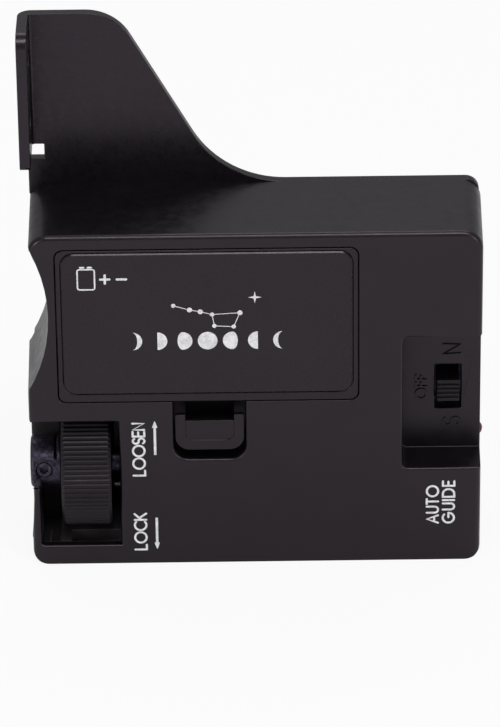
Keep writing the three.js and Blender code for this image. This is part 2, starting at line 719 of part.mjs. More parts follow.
function slideSwitchBody() {
  const slot = box(SWITCH.left - 0.2, -5, SWITCH.low - 0.2, SWITCH.right + 0.2, 0.7, SWITCH.high + 0.2);
  const pins = [25, 29, 33.2, 37.4, 41.4].map((z) => box(35.6, 1.5, z - 0.4, 36.4, BOARD.front - 0.05, z + 0.4));
  return box(31.6, RECESS.floor + RECESS.wall + 0.15, 23.5, 40, 2, 43).subtract(slot).add(join(pins));
}

// The knob, with grip ridges across its top, at the middle of its travel.
function switchKnob() {
  const top = RECESS.floor - 1.85;
  const middle = (SWITCH.low + SWITCH.high) / 2;
  const half = SWITCH.knobHeight / 2;
  const grooves = [-1.35, -0.45, 0.45, 1.35].map((dz) =>
    box(30, top - OVER, middle + dz - 0.22, 42, top + 0.45, middle + dz + 0.22),
  );
  const body = box(SWITCH.left + 0.4, top, middle - half, SWITCH.right - 0.4, 0.4, middle + half);
  return cut(body, grooves);
}

function statusLed() {
  const { y, z, radius } = LIGHT;
  const dome = new THREE.SphereGeometry(radius, 16, 8).translate(42.1, y, z);
  const leads = [-0.6, 0.6].flatMap((dz) => [
    box(36.4, y - 0.2, z + dz - 0.2, 37.8, y + 0.2, z + dz + 0.2),
    box(36.4, y - 0.2, z + dz - 0.2, 36.8, BOARD.front - 0.05, z + dz + 0.2),
  ]);
  const base = barX(1.9, 37.6, 38.4, y, z, 16);
  return join([base, barX(radius - 0.02, 38.3, 42.1, y, z, 16), solidOf(dome), ...leads]);
}

function guideJack() {
  const middle = (JACK.low + JACK.high) / 2;
  return cut(box(23, -9.7, JACK.low - 1.6, 40.3, BOARD.front - 0.1, JACK.high + 1.6), [
    box(26, JACK.front, JACK.low, 41, JACK.back, JACK.high),
    box(30, JACK.front - 1.8, middle - 2.1, 41, JACK.front + 0.1, middle + 2.1),
  ]);
}

// Six spring contacts on a shared carrier at the back of the jack.
function jackContacts() {
  const middle = (JACK.low + JACK.high) / 2;
  const pitch = 1.02;
  const wires = [];
  for (let i = 0; i < 6; i++) {
    const z = middle + (i - 2.5) * pitch;
    wires.push(prismZ(polygon([[27, -1], [37, -3.2], [37, -2.8], [27, -0.6]]), z - 0.2, z + 0.2));
  }
  return join([box(26.2, -1.7, middle - 3.4, 28, -0.5, middle + 3.4), ...wires]);
}

function capacitor() {
  return barY(2.5, -4.5, 3.2, 37.7, 56.5, 20).add(barY(2.2, -4.6, 3.9, 37.7, 56.5, 20));
}

function wireSocket() {
  return box(24, -1.9, 44, 31, BOARD.front - 0.1, 48.5).subtract(box(23, -1.1, 44.6, 30, 3, 47.9));
}

// A round lead along a smooth curve through the given points.
function lead(points) {
  const curve = new THREE.CatmullRomCurve3(points.map((p) => new THREE.Vector3(...p)));
  const round = new THREE.Shape().absarc(0, 0, 0.5, 0, 2 * Math.PI);
  return solidOf(
    new THREE.ExtrudeGeometry(round, { steps: 10, curveSegments: 4, extrudePath: curve, bevelEnabled: false }),
  );
}

// ---------------------------------------------------------------- the assembly

const root = new THREE.Group();

function place(group, name, solid, finish) {
  const { numProp, vertProperties, triVerts } = solid.getMesh();
  const geometry = new THREE.BufferGeometry();
  geometry.setAttribute("position", new THREE.BufferAttribute(new Float32Array(vertProperties), numProp));
  geometry.setIndex(new THREE.BufferAttribute(new Uint32Array(triVerts), 1));
  geometry.computeVertexNormals();
  const mesh = new THREE.Mesh(geometry, finish);
  mesh.name = name;
  group.add(mesh);
}

function addGroup(y, z) {
  const group = new THREE.Group();
  group.position.set(0, y, z);
  root.add(group);
  return group;
}

place(root, "front_housing", frontHousing(), blackPlastic());
place(root, "back_bracket", backBracket(), blackSteel());
PLATE_SCREWS.forEach((at, i) => place(root, `plate_screw_${i + 1}`, plateScrew(at), darkSteel()));

place(root, "battery_door", batteryDoor(), blackPlastic());
place(root, "door_label", doorLabel(), material(0x262322, 0.35));
place(root, "door_latch", doorLatch(), blackPlastic());
place(root, "battery_tray", batteryTray(), blackPlastic());
place(root, "battery_9v", batteryBlock(), material(0x54585e, 0.4, 0.4));
place(root, "battery_snap", batterySnap(), material(0x1b1b1c, 0.6));
place(root, "battery_foam", batteryFoam(), material(0x2a2a2c, 0.95));

const driveline = addGroup(AXIS.y, AXIS.z);
place(driveline, "coupler_sleeve", couplerSleeve(), darkSteel());
place(driveline, "coupler_set_screw", couplerSetScrew(), darkSteel());
place(driveline, "lock_wheel", lockWheel(), wheelPlastic());
place(driveline, "drive_shaft", driveShaft(), darkSteel());
place(driveline, "friction_washer", ringX(4.2, 1.5, -30.2, -29.8), material(0x8a7a5c, 0.8));
place(driveline, "main_gear", mainGear(), brass());
place(driveline, "shaft_bush_front", frontBush(), brass());
place(driveline, "shaft_bush_rear", ringX(2.9, 1.55, -20, -18.6, 24), brass());

const motorLine = addGroup(PINION.y, PINION.z);
place(motorLine, "output_pinion", outputPinion(), brass());
place(motorLine, "gearbox", gearbox(), brightSteel());
place(motorLine, "motor_can", motorCan(), brightSteel());
place(motorLine, "motor_cap", motorCap(), material(0x1f1f21, 0.6));
place(root, "gear_plate", gearPlate(), brightSteel());
place(root, "gear_plate_screw", gearPlateScrew(), darkSteel());
place(root, "bay_pin", bayPin(), brightSteel());

place(root, "circuit_board", circuitBoard(), material(0x1f5a36, 0.5));
BOARD_POSTS.forEach((at, i) => place(root, `board_screw_${i + 1}`, boardScrew(at), brightSteel()));
place(root, "controller_chip", controllerChip(), material(0x19191b, 0.5));
place(root, "capacitor", capacitor(), material(0x22304a, 0.4));
place(root, "wire_socket", wireSocket(), material(0xe6e2d6, 0.5));
place(root, "slide_switch_body", slideSwitchBody(), darkSteel());
place(root, "switch_knob", switchKnob(), wheelPlastic());
place(root, "status_led", statusLed(), material(0x6d0d12, 0.2));
place(root, "guide_jack", guideJack(), material(0x1d1d1f, 0.45));
place(root, "jack_contacts", jackContacts(), material(0xd9b45c, 0.25, 1));

const LEADS = {
  battery_lead_red: [[17.8, -2, 54], [20.9, -2, 53], [22.2, -1.3, 49.3], [24.8, -0.4, 46.7]],
  battery_lead_black: [[17.8, -0.2, 52.3], [20.6, -0.2, 51.2], [21.7, -0.2, 48], [24.6, -0.4, 45.4]],
  motor_lead_red: [[10.9, 0.5, 27.3], [16, 0.8, 30], [21.2, 1.4, 37], [22.2, 1.2, 43.5], [24.6, 0.95, 46.2]],
  motor_lead_black: [[10.9, 6.3, 27.3], [16, 4.6, 30.5], [20.9, 3.1, 37], [21.9, 2.8, 43.5], [24.6, 2.3, 46.2]],
};
for (const [name, points] of Object.entries(LEADS)) {
  place(root, name, lead(points), material(name.endsWith("red") ? 0xa81f1f : 0x161616, 0.5));
}

export default root;
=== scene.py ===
"""The looks of a clip-on motor drive for a small equatorial mount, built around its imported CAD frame.

Metres, +Z up. The drive stands on its bottom face, and its lettered front looks along -Y.
"""
import math

import bmesh
import bpy
from mathutils import Matrix, Vector


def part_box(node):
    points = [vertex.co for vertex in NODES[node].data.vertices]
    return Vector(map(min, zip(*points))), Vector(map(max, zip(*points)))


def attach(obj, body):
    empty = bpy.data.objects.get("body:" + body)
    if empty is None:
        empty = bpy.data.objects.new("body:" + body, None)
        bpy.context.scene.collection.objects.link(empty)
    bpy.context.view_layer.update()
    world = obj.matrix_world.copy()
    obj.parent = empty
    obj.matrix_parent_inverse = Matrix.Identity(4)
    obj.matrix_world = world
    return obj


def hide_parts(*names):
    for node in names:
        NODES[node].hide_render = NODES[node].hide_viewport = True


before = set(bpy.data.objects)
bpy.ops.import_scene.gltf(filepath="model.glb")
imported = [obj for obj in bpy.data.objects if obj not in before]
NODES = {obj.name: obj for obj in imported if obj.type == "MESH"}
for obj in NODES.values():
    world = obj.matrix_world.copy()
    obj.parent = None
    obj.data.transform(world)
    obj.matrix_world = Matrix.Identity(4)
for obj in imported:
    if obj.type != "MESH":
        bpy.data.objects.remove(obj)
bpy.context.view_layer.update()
MM = 0.001

# ---------------------------------------------------------------- driving dimensions, from the frame

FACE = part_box("front_housing")[0].y
HOUSING_LOW, HOUSING_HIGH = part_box("front_housing")
LABEL_LOW, LABEL_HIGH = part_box("door_label")
WHEEL_LOW, WHEEL_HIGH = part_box("lock_wheel")
KNOB_LOW, KNOB_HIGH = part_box("switch_knob")
DOORWAY_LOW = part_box("battery_door")[0].z - 0.2 * MM
RECESS_LEFT = KNOB_LOW.x - 7 * MM


# ---------------------------------------------------------------- materials

def srgb(red, green, blue):
    """A linear colour from 0-255 screen values."""
    def linear(value):
        value /= 255
        return value / 12.92 if value <= 0.04045 else ((value + 0.055) / 1.055) ** 2.4
    return (linear(red), linear(green), linear(blue), 1)


GLOSS_TINT = (1.0, 0.84, 1.0, 1)


class Finish:
    """A procedural material: a principled surface with textures in the part's own metres."""

    def __init__(self, name, color, roughness, metallic=0.0):
        self.material = bpy.data.materials.new(name)
        self.material.use_nodes = True
        self.nodes = self.material.node_tree.nodes
        self.links = self.material.node_tree.links
        self.surface = self.nodes["Principled BSDF"]
        self.surface.inputs["Base Color"].default_value = color
        self.surface.inputs["Roughness"].default_value = roughness
        self.surface.inputs["Metallic"].default_value = metallic
        if not metallic:
            self.surface.inputs["Specular Tint"].default_value = GLOSS_TINT
        self.place = self.nodes.new("ShaderNodeTexCoord").outputs["Object"]
        self.height = None

    def set(self, **inputs):
        for key, value in inputs.items():
            self.surface.inputs[key.replace("_", " ")].default_value = value
        return self

    def stretched(self, scale):
        mapping = self.nodes.new("ShaderNodeMapping")
        mapping.inputs["Scale"].default_value = scale
        self.links.new(self.place, mapping.inputs["Vector"])
        return mapping.outputs["Vector"]

    def noise(self, size, detail=3.0, roughness=0.55, stretch=None):
        """Cloudy noise with features about size metres across."""
        texture = self.nodes.new("ShaderNodeTexNoise")
        texture.inputs["Scale"].default_value = 1 / size
        texture.inputs["Detail"].default_value = detail
        texture.inputs["Roughness"].default_value = roughness
        self.links.new(self.stretched(stretch) if stretch else self.place, texture.inputs["Vector"])
        return texture.outputs["Fac"]

    def cells(self, size):
        """Rounded cells about size metres across, as a spark-eroded mould leaves."""
        texture = self.nodes.new("ShaderNodeTexVoronoi")
        texture.feature = "SMOOTH_F1"
        texture.inputs["Scale"].default_value = 1 / size
        self.links.new(self.place, texture.inputs["Vector"])
        return texture.outputs["Distance"]

    def remap(self, value, low, high, to_low, to_high):
        node = self.nodes.new("ShaderNodeMapRange")
        node.inputs["From Min"].default_value = low
        node.inputs["From Max"].default_value = high
        node.inputs["To Min"].default_value = to_low
        node.inputs["To Max"].default_value = to_high
        self.links.new(value, node.inputs["Value"])
        return node.outputs["Result"]

    def vary_color(self, value, first, second, low=0.35, high=0.65):
        """Runs the base colour from first to second as value rises."""
        mix = self.nodes.new("ShaderNodeMix")
        mix.data_type = "RGBA"
        mix.inputs["A"].default_value = first
        mix.inputs["B"].default_value = second
        self.links.new(self.remap(value, low, high, 0, 1), mix.inputs["Factor"])
        self.links.new(mix.outputs["Result"], self.surface.inputs["Base Color"])
        return self

    def product(self, first, second):
        node = self.nodes.new("ShaderNodeMath")
        node.operation = "MULTIPLY"
        self.links.new(first, node.inputs[0])
        self.links.new(second, node.inputs[1])
        return node.outputs[0]

    def vary_inside(self, low, high, shade, blur=0.1 * MM):
        """Changes the base colour to a shade within a box of the part, over a short blur at its sides."""
        axes = self.nodes.new("ShaderNodeSeparateXYZ")
        self.links.new(self.place, axes.inputs["Vector"])
        steps = []
        for axis, start, end in zip(axes.outputs, low, high):
            steps.append(self.remap(axis, start, start + blur, 0, 1))
            steps.append(self.remap(axis, end, end - blur, 0, 1))
        share = steps[0]
        for step in steps[1:]:
            share = self.product(share, step)
        mix = self.nodes.new("ShaderNodeMix")
        mix.data_type = "RGBA"
        color = self.surface.inputs["Base Color"]
        self.links.new(color.links[0].from_socket, mix.inputs["A"])
        mix.inputs["B"].default_value = shade
        self.links.new(share, mix.inputs["Factor"])
        self.links.new(mix.outputs["Result"], color)
        return self

    def vary_roughness(self, value, first, second, low=0.35, high=0.65):
        self.links.new(self.remap(value, low, high, first, second), self.surface.inputs["Roughness"])
        return self

    def bump(self, value, depth):
        """Adds relief of about depth metres."""
        node = self.nodes.new("ShaderNodeBump")
        node.inputs["Strength"].default_value = 1
        node.inputs["Distance"].default_value = depth
        self.links.new(value, node.inputs["Height"])
        if self.height:
            self.links.new(self.height, node.inputs["Normal"])
        self.height = node.outputs["Normal"]
        self.links.new(self.height, self.surface.inputs["Normal"])
        return self


def moulded_plastic(name, shade, roughness, grain=0.35 * MM, relief=0.006 * MM):
    """Dark ABS from a spark-eroded mould: a fine pebbled grain with faint, wide flow shading."""
    finish = Finish(name, shade, roughness)
    lighter = tuple(channel * 1.25 for channel in shade[:3]) + (1,)
    darker = tuple(channel * 0.85 for channel in shade[:3]) + (1,)
    finish.vary_color(finish.noise(9 * MM, 4), darker, lighter)
    finish.vary_roughness(finish.noise(2.2 * MM, 5, 0.65), roughness - 0.05, roughness + 0.06)
    finish.bump(finish.noise(grain, 3, 0.6), relief)
    finish.bump(finish.cells(grain * 0.7), relief * 0.6)
    return finish


def housing_plastic():
    """The housing's ABS, with painted light on the walls of the wheel bay: a lighter base colour there
    stands in for the light that reaches into the bay.
    """
    finish = moulded_plastic("housing_plastic", srgb(11, 10, 11), 0.33, relief=0.008 * MM)
    # painted light: a box round the wheel bay, inside which the base colour is lighter in place of the
    # light reaching its walls
    low = (HOUSING_LOW.x, FACE + 1.5 * MM, HOUSING_LOW.z)
    high = (WHEEL_HIGH.x + 1.7 * MM, HOUSING_HIGH.y, WHEEL_HIGH.z + 1.5 * MM)
    finish.set(Specular_IOR_Level=0.46)
    return finish.vary_inside(low, high, srgb(52, 48, 50)).material


def inner_plastic():
    return moulded_plastic("inner_plastic", srgb(14, 13, 14), 0.45).material


def wheel_plastic():
    finish = moulded_plastic("wheel_plastic", srgb(10, 9, 10), 0.42, grain=0.3 * MM, relief=0.005 * MM)
    return finish.set(Specular_IOR_Level=0.36).material


def label_film():
    """Screen-printed polyester film: smooth, satin, a little warmer than the housing."""
    finish = Finish("label_film", srgb(13, 11, 10), 0.27)
    finish.vary_color(finish.noise(14 * MM, 2), srgb(11, 9, 9), srgb(15, 13, 11))
    finish.vary_roughness(finish.noise(0.9 * MM, 5, 0.7), 0.24, 0.31)
    finish.bump(finish.noise(5 * MM, 2), 0.006 * MM)
    finish.bump(finish.noise(0.16 * MM, 2), 0.0008 * MM)
    return finish.set(Specular_IOR_Level=0.46).material


def painted_steel():
    """Satin black stoved paint with a fine orange peel, on pressed steel."""
    finish = Finish("painted_steel", srgb(9, 8, 9), 0.28)
    finish.vary_color(finish.noise(11 * MM, 4), srgb(8, 7, 8), srgb(11, 10, 11))
    finish.vary_roughness(finish.noise(1.5 * MM, 5, 0.65), 0.25, 0.34)
    finish.bump(finish.noise(0.6 * MM, 2, 0.4), 0.005 * MM)
    finish.bump(finish.noise(0.12 * MM, 2), 0.001 * MM)
    return finish.material


def black_steel():
    """Chemically blacked steel: dark, faintly blue, with worn, brighter high spots."""
    finish = Finish("black_steel", srgb(62, 58, 70), 0.36, 0.75)
    finish.vary_color(finish.noise(0.7 * MM, 5, 0.7), srgb(42, 39, 49), srgb(96, 89, 110), 0.4, 0.72)
    finish.vary_roughness(finish.noise(0.4 * MM, 5, 0.7), 0.24, 0.5)
    finish.bump(finish.noise(0.2 * MM, 3, 0.6), 0.014 * MM)
    return finish.material


def bright_steel():
    """Turned or rolled bare steel, with fine lines running round it."""
    finish = Finish("bright_steel", srgb(176, 176, 174), 0.28, 1.0)
    lines = finish.noise(0.12 * MM, 4, 0.6, stretch=(12, 1, 1))
    finish.vary_color(finish.noise(3 * MM, 4), srgb(160, 160, 158), srgb(190, 190, 187))
    finish.vary_roughness(lines, 0.2, 0.42)
    finish.bump(lines, 0.003 * MM)
    return finish.material


def brass():
    finish = Finish("brass", srgb(196, 158, 92), 0.28, 1.0)
    finish.vary_color(finish.noise(2 * MM, 4), srgb(178, 138, 74), srgb(206, 170, 104))
    finish.vary_roughness(finish.noise(0.15 * MM, 4, 0.6, stretch=(10, 1, 1)), 0.2, 0.4)
    return finish.material


def gold_contacts():
    finish = Finish("gold_contacts", srgb(214, 174, 84), 0.22, 1.0)
    finish.vary_roughness(finish.noise(0.3 * MM, 3), 0.15, 0.32)
    return finish.material


def battery_case():
    """A printed steel can: a copper band at the end away from its terminals, and dark elsewhere."""
    finish = Finish("battery_case", srgb(60, 62, 66), 0.35, 0.4)
    axis = finish.nodes.new("ShaderNodeSeparateXYZ")
    finish.links.new(finish.place, axis.inputs["Vector"])
    low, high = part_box("battery_9v")
    seam = low.x + (high.x - low.x) * 0.3
    blur = 0.02 * MM
    copper, charcoal = srgb(178, 128, 66), srgb(40, 41, 44)
    finish.vary_color(axis.outputs["X"], copper, charcoal, seam - blur, seam + blur)
    finish.vary_roughness(finish.noise(1.2 * MM, 4), 0.28, 0.42)
    return finish.material


def soft_rubber(name, shade):
    finish = Finish(name, shade, 0.62)
    lighter = tuple(channel * 1.4 for channel in shade[:3]) + (1,)
    finish.vary_color(finish.noise(2.5 * MM, 4), shade, lighter)
    finish.vary_roughness(finish.noise(0.5 * MM, 4), 0.55, 0.75)
    finish.bump(finish.noise(0.3 * MM, 3), 0.006 * MM)
    return finish.material


def board_green():
    """Solder mask over copper tracks: tracks show as slightly lighter, raised bands."""
    finish = Finish("board_green", srgb(20, 74, 44), 0.3)
    tracks = finish.nodes.new("ShaderNodeTexBrick")
    tracks.inputs["Scale"].default_value = 1 / (3.2 * MM)
    tracks.inputs["Mortar Size"].default_value = 0.06
    finish.links.new(finish.place, tracks.inputs["Vector"])
    finish.vary_color(tracks.outputs["Fac"], srgb(16, 62, 38), srgb(38, 104, 62), 0.2, 0.8)
    finish.vary_roughness(finish.noise(0.8 * MM, 3), 0.24, 0.4)
    finish.bump(tracks.outputs["Fac"], 0.03 * MM)
    return finish.material


def black_moulding():
    finish = moulded_plastic("black_moulding", srgb(18, 18, 19), 0.5, grain=0.2 * MM, relief=0.003 * MM)
    return finish.material


def white_nylon():
    finish = Finish("white_nylon", srgb(226, 222, 210), 0.45)
    finish.vary_color(finish.noise(3 * MM, 3), srgb(216, 211, 198), srgb(232, 229, 218))
    finish.vary_roughness(finish.noise(0.6 * MM, 3), 0.4, 0.55)
    return finish.set(Subsurface_Weight=0.2, Subsurface_Scale=0.5 * MM).material


def red_lens():
    """Deep red transparent epoxy, unlit."""
    finish = Finish("red_lens", srgb(66, 11, 10), 0.14)
    finish.vary_color(finish.noise(1.2 * MM, 3), srgb(58, 9, 8), srgb(74, 13, 12))
    finish.vary_roughness(finish.noise(0.5 * MM, 3), 0.1, 0.2)
    return finish.set(IOR=1.5, Subsurface_Weight=0.3, Subsurface_Scale=0.5 * MM).material


def white_ink():
    """Screen-printed white ink: matt, faintly uneven."""
    finish = Finish("white_ink", srgb(232, 232, 234), 0.5)
    finish.vary_color(finish.noise(0.8 * MM, 4, 0.7), srgb(206, 206, 210), srgb(240, 240, 241))
    finish.vary_roughness(finish.noise(0.3 * MM, 4), 0.42, 0.62)
    return finish.material


FINISHES = {
    "housing_plastic": housing_plastic,
    "inner_plastic": inner_plastic,
    "label_film": label_film,
    "wheel_plastic": wheel_plastic,
    "painted_steel": painted_steel,
    "black_steel": black_steel,
    "bright_steel": bright_steel,
    "brass": brass,
    "gold_contacts": gold_contacts,
    "battery_case": battery_case,
    "black_rubber": lambda: soft_rubber("black_rubber", srgb(24, 24, 25)),
    "red_rubber": lambda: soft_rubber("red_rubber", srgb(138, 22, 20)),
    "board_green": board_green,
    "black_moulding": black_moulding,
    "white_nylon": white_nylon,
    "red_lens": red_lens,
}


def build_materials():
    """One material for each slot the frame uses, in place of the imported flat ones."""
    return {slot: build() for slot, build in FINISHES.items()}


# ---------------------------------------------------------------- finishing the CAD nodes

def shading_nodes(name, smooth):
    """Geometry nodes that weld the faces, drop the imported normals and shade everything smooth or flat."""
    tree = bpy.data.node_groups.new(name, "GeometryNodeTree")
    tree.interface.new_socket("Geometry", in_out="INPUT", socket_type="NodeSocketGeometry")
    tree.interface.new_socket("Geometry", in_out="OUTPUT", socket_type="NodeSocketGeometry")
    source = tree.nodes.new("NodeGroupInput")
    weld = tree.nodes.new("GeometryNodeMergeByDistance")
    weld.inputs["Distance"].default_value = 0.001 * MM
    forget = tree.nodes.new("GeometryNodeRemoveAttribute")
    forget.inputs["Name"].default_value = "custom_normal"
    faces = tree.nodes.new("GeometryNodeSetShadeSmooth")
    faces.domain = "FACE"
    faces.inputs["Shade Smooth"].default_value = smooth
    edges = tree.nodes.new("GeometryNodeSetShadeSmooth")
    edges.domain = "EDGE"
    target = tree.nodes.new("NodeGroupOutput")
    chain = [source, weld, forget, faces, edges, target]
    for before, after in zip(chain, chain[1:]):
        tree.links.new(before.outputs[0], after.inputs[0])
    return tree


SHARP = math.radians(32)  # a steeper edge is rounded
SHARP_LIP = math.radians(50)  # the same on the housing, where 45 degree chamfers are shaded round instead
LIP = 0.55 * MM  # the rounding of the housing's front openings
FINE_EDGE = 0.16 * MM
SMALL_EDGE = 0.06 * MM


def soften(obj, width, segments=2, tree=None, lips=None):
    """Rounds a CAD node's sharp edges by width, or chamfers them when segments is 1.

    With lips, a node tree that weights the edges, width is the radius of a full-weight edge.
    """
    if tree:
        obj.modifiers.new("shading", "NODES").node_group = tree
    merge = obj.modifiers.new("flat_faces", "DECIMATE")
    merge.decimate_type = "DISSOLVE"
    merge.angle_limit = math.radians(0.5)
    if lips:
        obj.modifiers.new("lip_weights", "NODES").node_group = lips
    bevel = obj.modifiers.new("edges", "BEVEL")
    bevel.width = width
    bevel.segments = segments
    bevel.limit_method = "WEIGHT" if lips else "ANGLE"
    bevel.angle_limit = SHARP
    bevel.use_clamp_overlap = False
    bevel.loop_slide = False
    bevel.miter_outer = "MITER_ARC"
    if segments > 1:
        normals = obj.modifiers.new("normals", "WEIGHTED_NORMAL")
        normals.weight = 80
        normals.keep_sharp = True


def lip_nodes():
    """Weights the housing's sharp edges: the lips of its front openings fully and the others lightly.

    The edges of the front wall's inner face and of the open back stay as they are, and are shaded sharp.
    """
    near = 0.05 * MM
    wall_back = FACE + 2.2 * MM
    lip_reach = FACE + 1.05 * MM
    rim = 1.7 * MM  # the outer edge's own rounding lies within this of the housing's sides
    tree = bpy.data.node_groups.new("lip_weights", "GeometryNodeTree")
    tree.interface.new_socket("Geometry", in_out="INPUT", socket_type="NodeSocketGeometry")
    tree.interface.new_socket("Geometry", in_out="OUTPUT", socket_type="NodeSocketGeometry")

    def combine(operation, first, second):
        node = tree.nodes.new("ShaderNodeMath")
        node.operation = operation
        for socket, value in zip(node.inputs, (first, second)):
            if isinstance(value, bpy.types.NodeSocket):
                tree.links.new(value, socket)
            else:
                socket.default_value = value
        return node.outputs[0]

    def above(value, limit):
        return combine("GREATER_THAN", value, limit)

    def below(value, limit):
        return combine("LESS_THAN", value, limit)

    def either(first, second):
        return combine("MAXIMUM", first, second)

    def times(first, second):
        return combine("MULTIPLY", first, second)

    place = tree.nodes.new("ShaderNodeSeparateXYZ")
    tree.links.new(tree.nodes.new("GeometryNodeInputPosition").outputs[0], place.inputs[0])
    x, y, z = place.outputs
    angle = tree.nodes.new("GeometryNodeInputMeshEdgeAngle").outputs["Unsigned Angle"]
    opening = either(below(z, DOORWAY_LOW - near), above(x, RECESS_LEFT))
    off_rim = times(above(z, HOUSING_LOW.z + 0.5 * MM), below(x, HOUSING_HIGH.x - rim))
    off_rim = times(off_rim, above(x, HOUSING_LOW.x + rim))
    lip = times(times(below(y, lip_reach), opening), off_rim)
    light = FINE_EDGE / LIP
    weight = combine("ADD", times(lip, 1 - light), light)
    off_wall = either(below(y, wall_back - near), above(y, wall_back + near))
    shown = times(off_wall, below(y, HOUSING_HIGH.y - near))
    store = tree.nodes.new("GeometryNodeStoreNamedAttribute")
    store.data_type = "FLOAT"
    store.domain = "EDGE"
    store.inputs["Name"].default_value = "bevel_weight_edge"
    steep = above(angle, SHARP_LIP)
    tree.links.new(times(times(weight, shown), steep), store.inputs["Value"])
    crease = tree.nodes.new("GeometryNodeSetShadeSmooth")
    crease.domain = "EDGE"
    crease.inputs["Shade Smooth"].default_value = False
    tree.links.new(times(steep, below(shown, 0.5)), crease.inputs["Selection"])
    tree.links.new(tree.nodes.new("NodeGroupInput").outputs[0], store.inputs[0])
    tree.links.new(store.outputs[0], crease.inputs[0])
    tree.links.new(crease.outputs[0], tree.nodes.new("NodeGroupOutput").inputs[0])
    return tree


EDGE_WIDTHS = {
    "front_housing": LIP,
    "battery_door": FINE_EDGE,
    "door_label": 0.22 * MM,
    "door_latch": 0.12 * MM,
    "back_bracket": 0.14 * MM,
    "switch_knob": 0.1 * MM,
    "coupler_sleeve": 0.18 * MM,
    "coupler_set_screw": 0.08 * MM,
    "bay_pin": 0.15 * MM,
    "battery_9v": 0.3 * MM,
    "battery_tray": 0.12 * MM,
    "gearbox": 0.2 * MM,
    "motor_can": 0.3 * MM,
}


def finish_nodes(materials):
    """Gives every CAD node its slot's material, softened edges and smooth shading.

    The label is a flat sheet, so it gets a plain chamfer and flat shading.
    """
    smooth = shading_nodes("smooth_shading", True)
    flat = shading_nodes("flat_shading", False)
    lips = {"front_housing": lip_nodes()}
    for name, obj in NODES.items():
        for slot in obj.material_slots:
            slot.material = materials[slot.material.name.split(".")[0]]
        width = EDGE_WIDTHS.get(name, SMALL_EDGE)
        if name == "door_label":
            soften(obj, width, segments=1, tree=flat)
        else:
            soften(obj, width, tree=smooth, lips=lips.get(name))


# ---------------------------------------------------------------- pieces made here

def piece(name, mesh, material, body):
    """A new object that rides on a CAD body."""
    obj = bpy.data.objects.new(name, mesh)
    bpy.context.scene.collection.objects.link(obj)
    mesh.materials.append(material)
    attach(obj, body)
    return obj


def mesh_from(name, bm, smooth=True):
    bmesh.ops.recalc_face_normals(bm, faces=bm.faces)
    mesh = bpy.data.meshes.new(name)
    bm.to_mesh(mesh)
    bm.free()
    if smooth:
        mesh.shade_smooth()
    return mesh


def lock_wheel(materials):
    """The knurled wheel: rounded ridges chamfered at both ends, dished sides and a bore."""
    ridges, per_ridge, ridge_depth, chamfer = 80, 8, 0.22 * MM, 0.55 * MM
    left, right = WHEEL_LOW.x, WHEEL_HIGH.x
    centre = (WHEEL_LOW + WHEEL_HIGH) / 2
    radius = (WHEEL_HIGH.z - WHEEL_LOW.z) / 2
    bore, hub, rim = 4.75 * MM, 6.6 * MM, radius - 1.6 * MM
    dish, ease, step, start = 0.7 * MM, 0.2 * MM, 0.15 * MM, 0.12 * MM
    # From the bore out to the ridges: how far in from the wheel's side, and the radius there.
    side = [
        (dish, bore), (ease, bore), (0, bore + ease), (0, hub), (step, hub + ease), (dish, hub + 0.5 * MM),
        (dish, rim - 0.6 * MM), (step, rim - ease), (0, rim),
        (0, radius - chamfer), (start, radius - chamfer + start),
        (chamfer * 0.7, radius - chamfer * 0.3), (chamfer, radius), (chamfer + 0.25 * MM, radius),
    ]
    profile = [(left + x, r) for x, r in side] + [(right - x, r) for x, r in reversed(side)]
    count = ridges * per_ridge
    bm = bmesh.new()
    rings = []
    for x, r in profile:
        circle = []
        for i in range(count):
            angle = 2 * math.pi * i / count
            wave = 0.5 - 0.5 * math.cos(angle * ridges)
            valley = radius - ridge_depth * wave ** 3
            reach = min(r, valley)
            y = centre.y + reach * math.cos(angle)
            z = centre.z + reach * math.sin(angle)
            circle.append(bm.verts.new((x, y, z)))
        rings.append(circle)
    for one, other in zip(rings, rings[1:] + rings[:1]):
        for i in range(count):
            j = (i + 1) % count
            bm.faces.new((one[i], one[j], other[j], other[i]))
    mesh = mesh_from("lock_wheel_ridged", bm)
    obj = piece("lock_wheel_ridged", mesh, materials["wheel_plastic"], "wheel")
    sharpen(obj, 38)
    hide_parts("lock_wheel")


def sharpen(obj, degrees):
    """Marks edges steeper than the angle as sharp."""
    bm = bmesh.new()
    bm.from_mesh(obj.data)
    for edge in bm.edges:
        if len(edge.link_faces) == 2:
            edge.smooth = edge.calc_face_angle() < math.radians(degrees)
    bm.to_mesh(obj.data)
    bm.free()


# ---------------------------------------------------------------- strokes: letters, arrows and emblem

def arc(cx, cy, rx, ry, start, end, steps=20):
    points = []
    for i in range(steps + 1):
        angle = math.radians(start + (end - start) * i / steps)
        points.append((cx + rx * math.cos(angle), cy + ry * math.sin(angle)))
    return points


